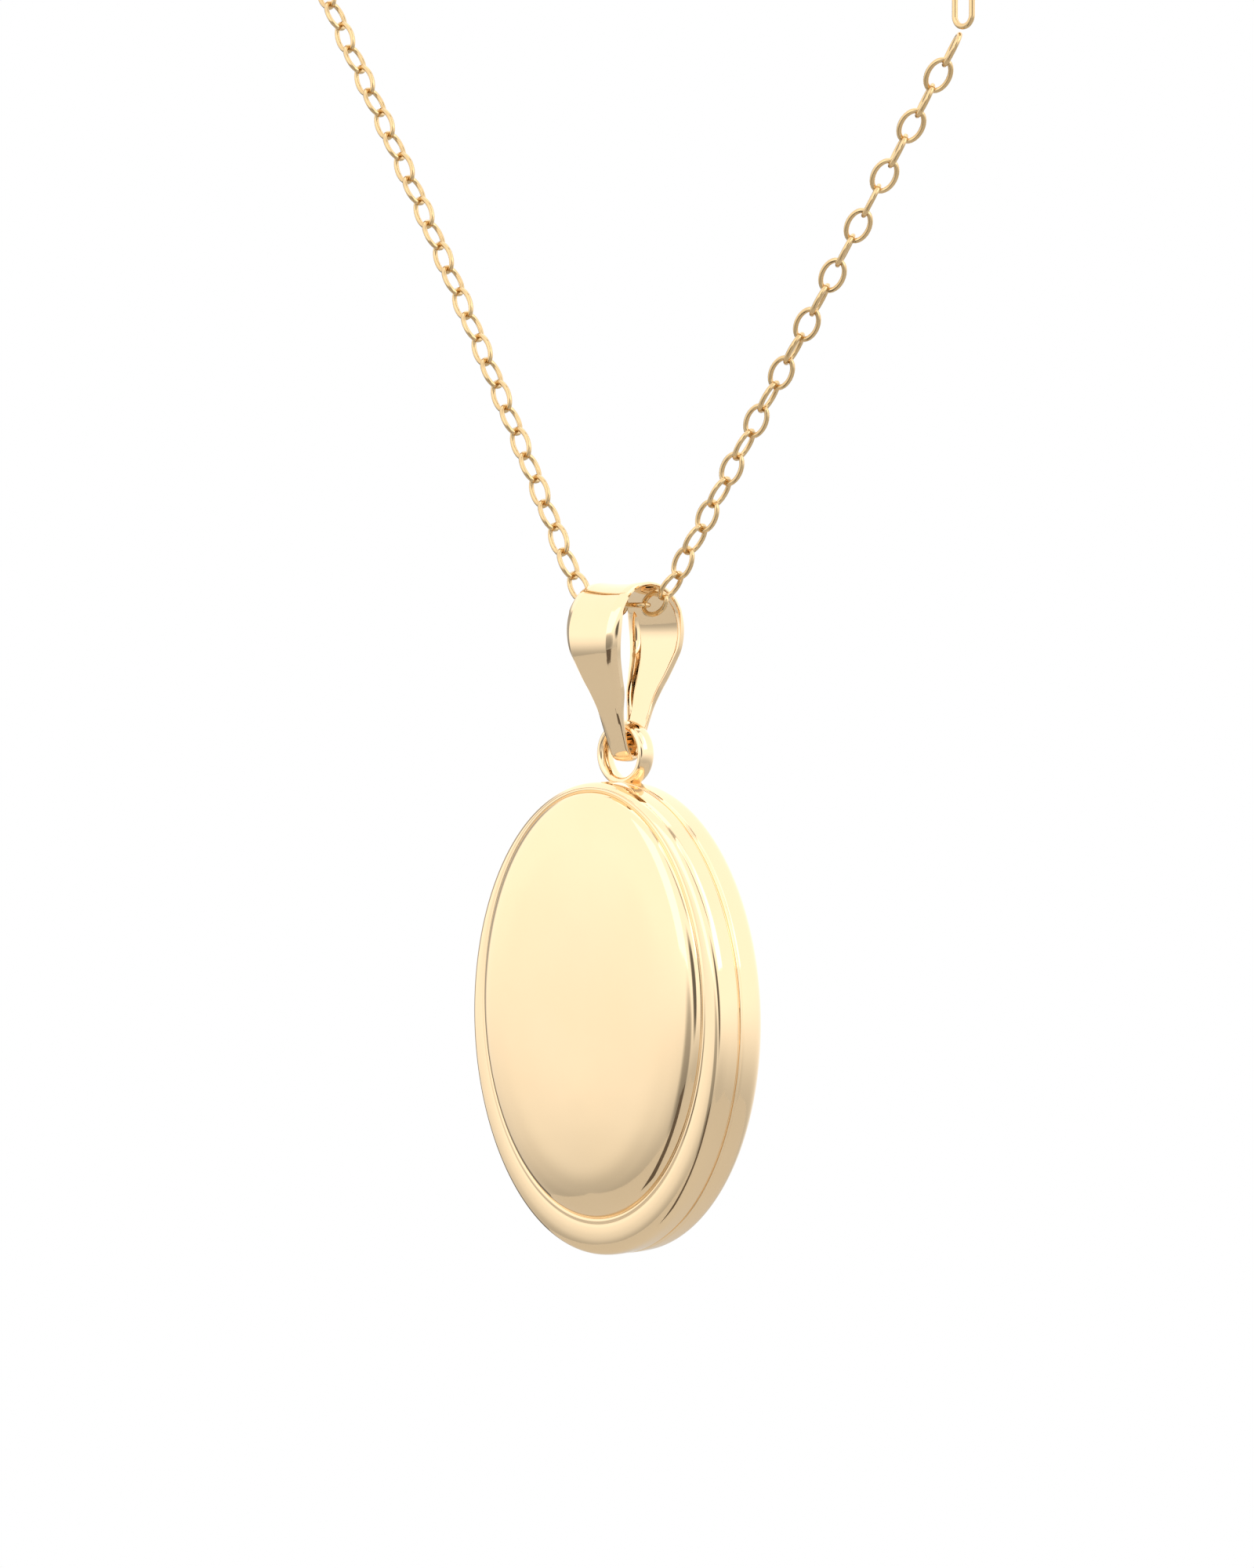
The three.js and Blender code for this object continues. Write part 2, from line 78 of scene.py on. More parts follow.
# camera and light: angles in degrees, the camera in millimetres and the studio in metres
camera = {"azimuth": 44.0, "elevation": 1.5, "distance": 330.0, "aimDown": 11.4, "aimRight": 0.1, "lens": 118.8}
studio = {
    "background": "#FFFFFF", "floor": "#C3C1BE", "floorDrop": 0.45, "floorHalf": 0.8, "floorGlow": 0.62,
    "above": 1.3, "below": 0.62, "blendLow": -0.42, "blendHigh": 0.08,
    # dim openings in the room: azimuth, elevation, cosine of the outer and inner edge, brightness left
    "darkSpots": [
        (46.0, 4.0, 0.95, 0.99, 0.12), (10.0, -14.0, 0.95, 0.99, 0.45), (-46.0, -42.0, 0.8, 0.99, 0.75),
        (-104.0, 6.0, 0.93, 0.985, 0.35), (84.0, 44.0, 0.93, 0.975, 0.4), (112.0, 62.0, 0.95, 0.985, 0.45),
        (-108.0, -22.0, 0.93, 0.98, 0.25)],
    # soft boxes: name, azimuth, elevation, width and height, watts
    "panels": [
        ("keyPanel", 100.0, 40.0, (0.32, 0.45), 0.45), ("frontPanel", 5.0, 28.0, (0.20, 0.40), 0.12),
        ("topPanel", 200.0, 75.0, (0.30, 0.30), 0.12)],
    "middle": (0.0, 0.0, -0.02), "panelAway": 0.45,
    "card": (16.0, -44.0), "cardHalf": (0.03, 0.1), "cardAway": 0.24, "cardColour": "#4A4038",
}


def directionTo(azimuth, elevation):
    # from the middle outwards; azimuth 0 is straight in front
    turn, rise = math.radians(azimuth), math.radians(elevation)
    return Vector((math.sin(turn) * math.cos(rise), -math.cos(turn) * math.cos(rise), math.sin(rise)))


def addCamera():
    turn = math.radians(camera["azimuth"])
    right = Vector((math.cos(turn), math.sin(turn), 0))
    target = Vector((0, 0, -camera["aimDown"])) * mm + right * camera["aimRight"] * mm
    away = directionTo(camera["azimuth"], camera["elevation"])
    data = bpy.data.cameras.new("studioCamera")
    data.lens = camera["lens"]
    data.clip_start, data.clip_end = 0.01, 50
    seat = makeObject("studioCamera", data)
    seat.location = target + away * camera["distance"] * mm
    seat.rotation_euler = (-away).to_track_quat("-Z", "Y").to_euler()
    bpy.context.scene.camera = seat


def addPanel(name, azimuth, elevation, size, power):
    away = directionTo(azimuth, elevation)
    data = bpy.data.lights.new(name, "AREA")
    data.shape = "RECTANGLE"
    data.size, data.size_y = size
    data.energy = power
    panel = makeObject(name, data)
    panel.location = Vector(studio["middle"]) + away * studio["panelAway"]
    panel.rotation_euler = (-away).to_track_quat("-Z", "Y").to_euler()
    panel.visible_camera = False


def addRoom():
    # the room that the metal mirrors: bright above and softer below, with a few dim openings
    world = bpy.data.worlds.new("studioRoom")
    world.use_nodes = True
    tree = world.node_tree
    tree.nodes.clear()
    place = addNode(tree, "ShaderNodeTexCoord").outputs["Generated"]
    split = addNode(tree, "ShaderNodeSeparateXYZ", {"Vector": place})
    glow = addNode(tree, "ShaderNodeMapRange", {
        "Value": split.outputs["Z"], "From Min": studio["blendLow"], "From Max": studio["blendHigh"],
        "To Min": studio["below"], "To Max": studio["above"]},
        interpolation_type="SMOOTHSTEP").outputs["Result"]
    for azimuth, elevation, outerEdge, innerEdge, left in studio["darkSpots"]:
        facing = addNode(tree, "ShaderNodeVectorMath", {0: place, 1: directionTo(azimuth, elevation)},
                         operation="DOT_PRODUCT").outputs["Value"]
        shade = addNode(tree, "ShaderNodeMapRange", {
            "Value": facing, "From Min": outerEdge, "From Max": innerEdge, "To Min": 1.0, "To Max": left},
            interpolation_type="SMOOTHSTEP").outputs["Result"]
        glow = addNode(tree, "ShaderNodeMath", {0: glow, 1: shade}, operation="MULTIPLY").outputs[0]
    room = addNode(tree, "ShaderNodeBackground", {"Color": (1, 1, 1, 1), "Strength": glow})
    # seen directly, the background is plain white
    plain = addNode(tree, "ShaderNodeBackground", {
        "Color": linearColour(studio["background"]), "Strength": 1.0})
    seen = addNode(tree, "ShaderNodeLightPath").outputs["Is Camera Ray"]
    mix = addNode(tree, "ShaderNodeMixShader", {0: seen, 1: room.outputs[0], 2: plain.outputs[0]})
    addNode(tree, "ShaderNodeOutputWorld", {"Surface": mix.outputs[0]})
    bpy.context.scene.world = world


def addFloor():
    half, z = studio["floorHalf"], -studio["floorDrop"]
    mesh = bpy.data.meshes.new("studioFloor")
    corners = [(-half, -half, z), (half, -half, z), (half, half, z), (-half, half, z)]
    mesh.from_pydata(corners, [], [(0, 1, 2, 3)])
    # matt paper, overexposed where it is seen directly, so that it doesn't light the case from below
    material, tree, shader = newMaterial("paperSweep", {
        "Base Color": linearColour(studio["floor"]), "Roughness": 0.9, "Emission Color": (1, 1, 1, 1)})
    seen = addNode(tree, "ShaderNodeLightPath").outputs["Is Camera Ray"]
    glow = addNode(tree, "ShaderNodeMath", {0: seen, 1: studio["floorGlow"]}, operation="MULTIPLY")
    tree.links.new(glow.outputs[0], shader.inputs["Emission Strength"])
    mesh.materials.append(material)
    makeObject("studioFloor", mesh)


def addCard():
    # dark card below and in front, out of sight, which draws brown lines along the bevels
    away = directionTo(*studio["card"])
    half, tall = studio["cardHalf"]
    mesh = bpy.data.meshes.new("darkCard")
    mesh.from_pydata([(-half, -tall, 0), (half, -tall, 0), (half, tall, 0), (-half, tall, 0)],
                     [], [(0, 1, 2, 3)])
    board = makeObject("darkCard", mesh)
    board.location = Vector(studio["middle"]) + away * studio["cardAway"]
    board.rotation_euler = (-away).to_track_quat("Z", "Y").to_euler()
    board.visible_camera = False
    board.visible_shadow = False
    mesh.materials.append(newMaterial("blackFelt", {"Base Color": linearColour(studio["cardColour"])})[0])


bpy.context.scene.view_settings.view_transform = "Standard"
addCamera()
addRoom()
for panel in studio["panels"]:
    addPanel(*panel)
addFloor()
addCard()
print("stage: camera, floor and light")

# materials
finishes = {
    # gold plate on pressed brass, buffed to a mirror: sharp reflections, pale warm yellow
    "goldPlate": {"colour": "#F9DFB8", "tint": "#F5D9AF", "roughness": 0.05, "wear": 0.1, "bump": 0.02},
    # gold wash by dipping, left as it comes from the bath: satin and a deeper yellow
    "dippedGold": {"colour": "#EFCF98", "tint": "#DFB97E", "roughness": 0.22, "wear": 0.34, "bump": 0.05},
    # plate on drawn and soldered wire, barrel polished: bright, a little browner than the case
    "chainGold": {"colour": "#E8CB9B", "tint": "#D2B180", "roughness": 0.1, "wear": 0.2, "bump": 0.02},
    # drawn steel wire, bare: grey with a soft shine
    "drawnSteel": {"colour": "#B9BABC", "tint": "#94969A", "roughness": 0.28, "wear": 0.4, "bump": 0.03},
}
# the clear sheet over each card, and the card itself
nonmetals = {
    "sheet": "#F7F9F8", "sheetIor": 1.47, "sheetAlpha": 0.22, "sheetRough": 0.02, "sheetHaze": 0.12,
    "card": "#F3EEE2", "cardFibre": "#DDD5C4", "cardRough": 0.88, "cardBump": 0.2,
}


def metal(name):
    finish = finishes[name]
    material, tree, shader = newMaterial(name, {"Metallic": 1.0})
    place = addNode(tree, "ShaderNodeTexCoord").outputs["Object"]
    # slow drift of the tint, about 6 mm across
    drift = addNode(tree, "ShaderNodeTexNoise", {"Vector": place, "Scale": 170.0, "Detail": 3.0})
    tint = addNode(tree, "ShaderNodeMix", {
        0: drift.outputs[0], 6: linearColour(finish["colour"]), 7: linearColour(finish["tint"])},
        data_type="RGBA")
    tree.links.new(tint.outputs[2], shader.inputs["Base Color"])
    # hairline marks from wiping: 0.05 mm wide, drawn at 0.16 mm so that they show
    turned = addNode(tree, "ShaderNodeMapping", {
        "Vector": place, "Rotation": (0.3, 0.5, 0.7), "Scale": (1, 1, 9)})
    hair = addNode(tree, "ShaderNodeTexNoise", {"Vector": turned.outputs[0], "Scale": 700.0, "Detail": 6.0})
    smear = addNode(tree, "ShaderNodeMapRange", {
        "Value": hair.outputs[0], "From Min": 0.42, "From Max": 0.78,
        "To Min": finish["roughness"], "To Max": finish["wear"]})
    tree.links.new(smear.outputs["Result"], shader.inputs["Roughness"])
    # hand buffing leaves low waves about 3 mm long
    wave = addNode(tree, "ShaderNodeTexNoise", {"Vector": place, "Scale": 330.0, "Detail": 1.0})
    bump = addNode(tree, "ShaderNodeBump", {
        "Height": wave.outputs[0], "Strength": finish["bump"], "Distance": 0.4 * mm})
    tree.links.new(bump.outputs["Normal"], shader.inputs["Normal"])
    return material


def acetateSheet():
    # clear acetate, cast and cut from sheet: glossy, with a faint haze that drifts over 2.4 mm
    material, tree, shader = newMaterial("acetateSheet", {
        "Base Color": linearColour(nonmetals["sheet"]), "IOR": nonmetals["sheetIor"],
        "Alpha": nonmetals["sheetAlpha"]})
    place = addNode(tree, "ShaderNodeTexCoord").outputs["Object"]
    haze = addNode(tree, "ShaderNodeTexNoise", {"Vector": place, "Scale": 420.0, "Detail": 4.0})
    rough = addNode(tree, "ShaderNodeMapRange", {
        "Value": haze.outputs[0], "To Min": nonmetals["sheetRough"], "To Max": nonmetals["sheetHaze"]})
    tree.links.new(rough.outputs["Result"], shader.inputs["Roughness"])
    return material


def photoCard():
    # uncoated card, rolled and cut: matt cream, with fibres about 0.2 mm long
    material, tree, shader = newMaterial("photoCard", {"Roughness": nonmetals["cardRough"]})
    place = addNode(tree, "ShaderNodeTexCoord").outputs["Object"]
    fibre = addNode(tree, "ShaderNodeTexNoise", {"Vector": place, "Scale": 4200.0, "Detail": 6.0})
    tint = addNode(tree, "ShaderNodeMix", {
        0: fibre.outputs[0], 6: linearColour(nonmetals["card"]), 7: linearColour(nonmetals["cardFibre"])},
        data_type="RGBA")
    tree.links.new(tint.outputs[2], shader.inputs["Base Color"])
    bump = addNode(tree, "ShaderNodeBump", {
        "Height": fibre.outputs[0], "Strength": nonmetals["cardBump"], "Distance": 0.03 * mm})
    tree.links.new(bump.outputs["Normal"], shader.inputs["Normal"])
    return material


goldPlate, dippedGold, chainGold, drawnSteel = (metal(n) for n in finishes)
clearSheet = acetateSheet()
card = photoCard()
print("stage: materials")


# mesh tools: all sizes in millimetres, angles in degrees
bluntest = 38.0  # a sharper corner than this keeps its edge in the shading
poleRadius = 0.001  # stands for the axis of a turned piece


def makePiece(name, points, faces, material, sharp=bluntest):
    mesh = bpy.data.meshes.new(name)
    mesh.from_pydata([Vector(p) * mm for p in points], [], faces)
    return closeMesh(makeObject(name, mesh), material, sharp)


def closeMesh(piece, material, sharp=bluntest):
    mesh = piece.data
    work = bmesh.new()
    work.from_mesh(mesh)
    bmesh.ops.remove_doubles(work, verts=work.verts, dist=2e-7)
    bmesh.ops.recalc_face_normals(work, faces=work.faces)
    work.to_mesh(mesh)
    work.free()
    mesh.materials.clear()
    mesh.materials.append(material)
    mesh.polygons.foreach_set("use_smooth", [True] * len(mesh.polygons))
    mesh.polygons.foreach_set("material_index", [0] * len(mesh.polygons))
    mesh.set_sharp_from_angle(angle=math.radians(sharp))
    mesh.update()
    return piece


def ringFaces(rows, columns, closeRows=False):
    # quads between neighbouring closed rows of points
    faces = []
    for r in range(rows if closeRows else rows - 1):
        nextRow = (r + 1) % rows
        for c in range(columns):
            d = (c + 1) % columns
            faces.append((r * columns + c, r * columns + d, nextRow * columns + d, nextRow * columns + c))
    return faces


def smoothRow(points, steps):
    # a smooth curve through all the points, with this many steps from one to the next
    rows = []
    last = len(points) - 1
    for i in range(last):
        p0, p1, p2, p3 = (points[max(i - 1, 0)], points[i], points[i + 1], points[min(i + 2, last)])
        for s in range(steps):
            t = s / steps
            rows.append(tuple(
                0.5 * (2 * b + (c - a) * t + (2 * a - 5 * b + 4 * c - d) * t * t
                       + (3 * b - a - 3 * c + d) * t ** 3)
                for a, b, c, d in zip(p0, p1, p2, p3)))
    rows.append(tuple(points[-1]))
    return rows


def cutPiece(piece, cutters, material, operation="DIFFERENCE", sharp=bluntest):
    for cutter in cutters:
        step = piece.modifiers.new("cut", "BOOLEAN")
        step.operation = operation
        step.solver = "EXACT"
        step.object = cutter
    evaluated = piece.evaluated_get(bpy.context.evaluated_depsgraph_get())
    mesh = bpy.data.meshes.new_from_object(evaluated)
    piece.modifiers.clear()
    piece.data = mesh
    for cutter in cutters:
        bpy.data.objects.remove(cutter, do_unlink=True)
    return closeMesh(piece, material, sharp)


def boxPiece(name, low, high, material):
    points = [(x, y, z) for x in (low[0], high[0]) for y in (low[1], high[1]) for z in (low[2], high[2])]
    faces = [(0, 1, 3, 2), (4, 6, 7, 5), (0, 4, 5, 1), (2, 3, 7, 6), (0, 2, 6, 4), (1, 5, 7, 3)]
    return makePiece(name, points, faces, material)


def lathe(name, profile, centre, axis, material, segments=72, closed=True):
    # profile holds (radius, along); the axis is Y or Z
    points = []
    for radius, along in profile:
        for s in range(segments):
            a = 2 * math.pi * s / segments
            c, d = radius * math.cos(a), radius * math.sin(a)
            local = (c, along, d) if axis == "Y" else (c, d, along)
            points.append(tuple(p + q for p, q in zip(local, centre)))
    return makePiece(name, points, ringFaces(len(profile), segments, closed), material)


def tubeAlong(name, centres, radius, material, sides=14, closed=False, flat=(0, 1, 0)):
    # round wire along a path that lies mostly in the X-Z plane
    points = []
    count = len(centres)
    for i, centre in enumerate(centres):
        before = centres[(i - 1) % count] if closed else centres[max(i - 1, 0)]
        after = centres[(i + 1) % count] if closed else centres[min(i + 1, count - 1)]
        along = (Vector(after) - Vector(before)).normalized()
        side = along.cross(Vector(flat)).normalized()
        up = side.cross(along).normalized()
        for s in range(sides):
            a = 2 * math.pi * s / sides
            points.append(tuple(Vector(centre) + side * radius * math.cos(a) + up * radius * math.sin(a)))
    faces = ringFaces(count, sides, closed)
    if not closed:
        faces.append(tuple(range(sides)))
        faces.append(tuple((count - 1) * sides + s for s in range(sides)))
    return makePiece(name, points, faces, material)


def finishPiece(piece, body, slot, *nodes):
    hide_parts(*nodes)
    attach(piece, body)
    return piece


# chain
chainParts = {
    "linkWidth": 1.65, "linkLength": 2.4, "linkWire": 0.33, "pitch": 1.78,
    "firstTurn": 0.0, "lateTwist": 45.0, "lateFrom": 34.0, "lateTo": 50.0,
}
chainRoute = [
    (-28.9, 42.8), (-26.1, 38.1), (-22.6, 32.6), (-18.8, 26.5), (-14.4, 19.1), (-10.0, 11.5),
    (-7.1, 6.3), (-5.5, 3.4), (-4.45, 1.55), (-3.95, 0.95), (-3.3, 0.36), (-2.5, 0.02), (-1.5, 0),
    (0, 0), (1.3, 0), (2.3, 0.02), (3.1, 0.36), (3.75, 0.95), (4.3, 1.6), (5.5, 3.3),
    (7.9, 6.6), (11.9, 12.2), (16.0, 17.8), (20.9, 24.6), (25.0, 30.1), (27.2, 33.1),
]


def centripetal(points, steps):
    # centripetal Catmull-Rom through the route, as the plain tube has it
    head = tuple(2 * a - b for a, b in zip(points[0], points[1]))
    tail = tuple(2 * a - b for a, b in zip(points[-1], points[-2]))
    full = [Vector(p) for p in [head] + points + [tail]]
    out = []
    for i in range(1, len(full) - 2):
        p = full[i - 1:i + 3]
        t = [0.0]
        for a, b in zip(p, p[1:]):
            t.append(t[-1] + max((b - a).length ** 0.5, 1e-6))
        for s in range(steps):
            u = t[1] + (t[2] - t[1]) * s / steps
            a1 = p[0] * ((t[1] - u) / (t[1] - t[0])) + p[1] * ((u - t[0]) / (t[1] - t[0]))
            a2 = p[1] * ((t[2] - u) / (t[2] - t[1])) + p[2] * ((u - t[1]) / (t[2] - t[1]))
            a3 = p[2] * ((t[3] - u) / (t[3] - t[2])) + p[3] * ((u - t[2]) / (t[3] - t[2]))
            b1 = a1 * ((t[2] - u) / (t[2] - t[0])) + a2 * ((u - t[0]) / (t[2] - t[0]))
            b2 = a2 * ((t[3] - u) / (t[3] - t[1])) + a3 * ((u - t[1]) / (t[3] - t[1]))
            out.append(b1 * ((t[2] - u) / (t[2] - t[1])) + b2 * ((u - t[1]) / (t[2] - t[1])))
    out.append(Vector(points[-1]))
    return out


def linkTree():
    tree = bpy.data.node_groups.new("cableLinks", "GeometryNodeTree")
    face = tree.interface
    face.new_socket("Geometry", in_out="INPUT", socket_type="NodeSocketGeometry")
    for name in ("Link width", "Link length", "Wire", "Pitch", "First turn", "Late twist", "Late from",
                 "Late to"):
        face.new_socket(name, in_out="INPUT", socket_type="NodeSocketFloat")
    face.new_socket("Finish", in_out="INPUT", socket_type="NodeSocketMaterial")
    face.new_socket("Geometry", in_out="OUTPUT", socket_type="NodeSocketGeometry")
    given = addNode(tree, "NodeGroupInput").outputs

    def calculate(operation, a, b=0.0):
        return addNode(tree, "ShaderNodeMath", {0: a, 1: b}, operation=operation).outputs[0]

    # one link: a circle drawn out to an oval, with round wire
    halfWide = calculate("MULTIPLY", calculate("SUBTRACT", given["Link width"], given["Wire"]), 0.5)
    halfLong = calculate("MULTIPLY", calculate("SUBTRACT", given["Link length"], given["Wire"]), 0.5)
    circle = addNode(tree, "GeometryNodeCurvePrimitiveCircle", {"Resolution": 28, "Radius": 1.0})
    upright = addNode(tree, "GeometryNodeTransform", {
        "Geometry": circle.outputs["Curve"], "Rotation": (math.pi / 2, 0, 0)})
    spread = addNode(tree, "ShaderNodeCombineXYZ", {"X": halfWide, "Y": 1.0, "Z": halfLong})
    oval = addNode(tree, "GeometryNodeTransform", {
        "Geometry": upright.outputs["Geometry"], "Scale": spread.outputs[0]})
    section = addNode(tree, "GeometryNodeCurvePrimitiveCircle", {
        "Resolution": 10, "Radius": calculate("MULTIPLY", given["Wire"], 0.5)})
    link = addNode(tree, "GeometryNodeCurveToMesh", {
        "Curve": oval.outputs["Geometry"], "Profile Curve": section.outputs["Curve"]})
    # one link at each pitch, each a quarter turn on from the last, easing round near the right end
    route = addNode(tree, "GeometryNodeMeshToCurve", {"Mesh": given["Geometry"]})
    stops = addNode(tree, "GeometryNodeCurveToPoints", {
        "Curve": route.outputs["Curve"], "Length": given["Pitch"]}, mode="LENGTH")
    placed = addNode(tree, "GeometryNodeInstanceOnPoints", {
        "Points": stops.outputs["Points"], "Instance": link.outputs["Mesh"],
        "Rotation": stops.outputs["Rotation"]})
    index = addNode(tree, "GeometryNodeInputIndex").outputs[0]
    quarter = calculate("MULTIPLY", calculate("MODULO", index, 2.0), math.pi / 2)
    late = addNode(tree, "ShaderNodeMapRange", {
        "Value": index, "From Min": given["Late from"], "From Max": given["Late to"],
        "To Min": 0.0, "To Max": given["Late twist"]})
    spin = calculate("ADD", calculate("ADD", quarter, given["First turn"]), late.outputs["Result"])
    euler = addNode(tree, "ShaderNodeCombineXYZ", {"Z": spin})
    turn = addNode(tree, "FunctionNodeEulerToRotation", {"Euler": euler.outputs[0]})
    turned = addNode(tree, "GeometryNodeRotateInstances", {
        "Instances": placed.outputs["Instances"], "Rotation": turn.outputs[0], "Local Space": True})
    real = addNode(tree, "GeometryNodeRealizeInstances", {"Geometry": turned.outputs["Instances"]})
    painted = addNode(tree, "GeometryNodeSetMaterial", {
        "Geometry": real.outputs["Geometry"], "Material": given["Finish"]})
    addNode(tree, "NodeGroupOutput", {"Geometry": painted.outputs["Geometry"]})
    return tree


def makeChain():
    route = [(p.x * mm, 0, p.y * mm) for p in centripetal(chainRoute, 8)]
    mesh = bpy.data.meshes.new("chainLinks")
    mesh.from_pydata(route, [(i, i + 1) for i in range(len(route) - 1)], [])
    piece = makeObject("chainLinks", mesh)
    tree = linkTree()
    step = piece.modifiers.new("links", "NODES")
    step.node_group = tree
    values = {
        "Link width": chainParts["linkWidth"] * mm, "Link length": chainParts["linkLength"] * mm,
        "Wire": chainParts["linkWire"] * mm, "Pitch": chainParts["pitch"] * mm,
        "First turn": math.radians(chainParts["firstTurn"]),
        "Late twist": math.radians(chainParts["lateTwist"]),
        "Late from": chainParts["lateFrom"], "Late to": chainParts["lateTo"],
        "Finish": chainGold,
    }
    for item in tree.interface.items_tree:
        if item.in_out == "INPUT" and item.name in values:
            step[item.identifier] = values[item.name]
    evaluated = piece.evaluated_get(bpy.context.evaluated_depsgraph_get())
    plain = bpy.data.meshes.new_from_object(evaluated)
    piece.modifiers.clear()
    piece.data = plain
    plain.polygons.foreach_set("use_smooth", [True] * len(plain.polygons))
    length = sum((Vector(b) - Vector(a)).length for a, b in zip(route, route[1:]))
    return piece, route, length


chainLinks, chainPath, chainLength = makeChain()
finishPiece(chainLinks, "chain", "polished_gold", "chain")
print("stage: chain,", round(chainLength * 1000, 1), "mm,", len(chainLinks.data.polygons), "faces")

# what the two ends of the chain hold
ends = {
    "gap": 0.3, "linkLength": 8.4, "linkWidth": 1.7, "linkWire": 0.36, "linkAside": 0.9,
    "ringOuter": 3.6, "ringWire": 0.46, "play": 0.1,
}
clasp = {
    "link": 2.6, "linkWire": 0.42, "eye": 2.2, "eyeWire": 0.42, "radius": 2.3, "tube": 1.25, "bore": 0.76,
    "bolt": 0.56, "mouthStart": 60.0, "mouth": 52.0, "travel": 42.0, "fit": 8.0, "solder": 0.05,
    "boltTail": 62.0, "boreTail": 150.0, "knobAt": 22.0, "knob": 0.19, "knobLength": 1.1,
    "cap": 0.32, "capHeight": 0.3, "slotWidth": 0.5, "slotEnd": 9.0,
}


def wireRing(name, outer, wire, place, stretch=0.0, plane="XZ"):
    # a round of wire, drawn out by the stretch, standing in the plane X-Z or Y-Z
    centres, count, radius = [], 72, (outer - wire) / 2
    for i in range(count):
        a = 2 * math.pi * i / count
        c, s = radius * math.cos(a), radius * math.sin(a)
        s += math.copysign(stretch / 2, s) if abs(s) > 1e-9 else 0.0
        centres.append(tuple(place @ Vector((c, 0, s) if plane == "XZ" else (0, c, s))))
    flat = place.to_3x3() @ Vector((0, 1, 0) if plane == "XZ" else (1, 0, 0))
    return tubeAlong(name, centres, wire / 2, chainGold, 16, True, tuple(flat))


endX = chainRoute[-1][0] + ends["linkAside"]
endBottom = chainRoute[-1][1] + chainParts["linkWidth"] / 2 + ends["gap"]
endCentre = endBottom + ends["linkLength"] / 2
endRingLow = endBottom + ends["linkLength"] - ends["linkWire"] - ends["ringWire"] - ends["play"]
longLink = wireRing("longLink", ends["linkWidth"], ends["linkWire"], Matrix.Translation((endX, 0, endCentre)),
                    ends["linkLength"] - ends["linkWidth"])
endRing = wireRing("endRing", ends["ringOuter"], ends["ringWire"],
                   Matrix.Translation((endX, 0, endRingLow + ends["ringOuter"] / 2)), plane="YZ")
finishPiece(longLink, "chain", "polished_gold", "chain_end_link")
finishPiece(endRing, "chain", "polished_gold", "chain_end_ring")

start, second = Vector(chainRoute[0]), Vector(chainRoute[1])
strandLean = math.atan2(start.x - second.x, start.y - second.y)
claspPlace = Matrix.Translation((start.x, 0, start.y)) @ Matrix.Rotation(strandLean, 4, "Y")
claspLinkZ = ends["gap"] + clasp["link"] / 2
eyeZ = claspLinkZ + clasp["link"] / 2 - clasp["linkWire"] - clasp["eyeWire"] - ends["play"] + clasp["eye"] / 2
claspZ = eyeZ + clasp["eye"] / 2 + clasp["solder"] + clasp["radius"] + clasp["tube"] / 2
claspLink = wireRing("claspLink", clasp["link"], clasp["linkWire"],
                     claspPlace @ Matrix.Translation((0, 0, claspLinkZ)), plane="YZ")
claspEye = wireRing("claspEye", clasp["eye"], clasp["eyeWire"], claspPlace @ Matrix.Translation((0, 0, eyeZ)))
claspSeat = claspPlace @ Matrix.Translation((0, 0, claspZ))


def onClasp(angle, radius=clasp["radius"], y=0.0):
    # a point at this angle on the round of the clasp
    a = math.radians(angle)
    return claspSeat @ Vector((radius * math.cos(a), y, radius * math.sin(a)))


def arcWire(name, fromAngle, toAngle, diameter, steps, sides=24):
    angles = [fromAngle + (toAngle - fromAngle) * i / steps for i in range(steps + 1)]
    return tubeAlong(name, [tuple(onClasp(angle)) for angle in angles], diameter / 2, chainGold, sides)


def slotCutter(fromAngle, toAngle):
    # a curved block through the outside of the tube
    points = []
    half, inner, outer = clasp["slotWidth"] / 2, clasp["radius"], clasp["radius"] + clasp["tube"]
    steps = 24
    for i in range(steps + 1):
        angle = fromAngle + (toAngle - fromAngle) * i / steps
        for r, y in ((inner, -half), (inner, half), (outer, half), (outer, -half)):
            points.append(tuple(onClasp(angle, r, y)))
    faces = ringFaces(steps + 1, 4)
    faces += [(0, 1, 2, 3), tuple(steps * 4 + i for i in range(4))]
    return makePiece("slotCutter", points, faces, chainGold)


mouthEnd = clasp["mouthStart"] + clasp["mouth"]
knobAngle = mouthEnd + clasp["knobAt"]
claspCase = arcWire("claspCase", mouthEnd, clasp["mouthStart"] + 360, clasp["tube"], 110, 32)
cutPiece(claspCase, [
    arcWire("boreCutter", mouthEnd - clasp["fit"], mouthEnd + clasp["boreTail"], clasp["bore"], 60),
    arcWire("socketCutter", clasp["mouthStart"] - 2 * clasp["fit"], clasp["mouthStart"] + clasp["fit"],
            clasp["bore"], 10),
    slotCutter(knobAngle - clasp["slotEnd"], knobAngle + clasp["travel"] + clasp["slotEnd"]),
], chainGold)


def makeClaspBolt():
    rod = arcWire("claspBolt", clasp["mouthStart"] - clasp["fit"], mouthEnd + clasp["boltTail"],
                  clasp["bolt"], 60)
    a = math.radians(knobAngle)
    out = claspSeat.to_3x3() @ Vector((math.cos(a), 0, math.sin(a)))
    base = onClasp(knobAngle)
    capLow = clasp["knobLength"] - clasp["capHeight"] / 2
    stem = tubeAlong("stem", [tuple(base + out * t) for t in (0, clasp["knobLength"])],
                     clasp["knob"], chainGold, 20)
    cap = tubeAlong("cap", [tuple(base + out * t) for t in (capLow, capLow + clasp["capHeight"])],
                    clasp["cap"], chainGold, 24)
    return cutPiece(rod, [stem, cap], chainGold, "UNION")


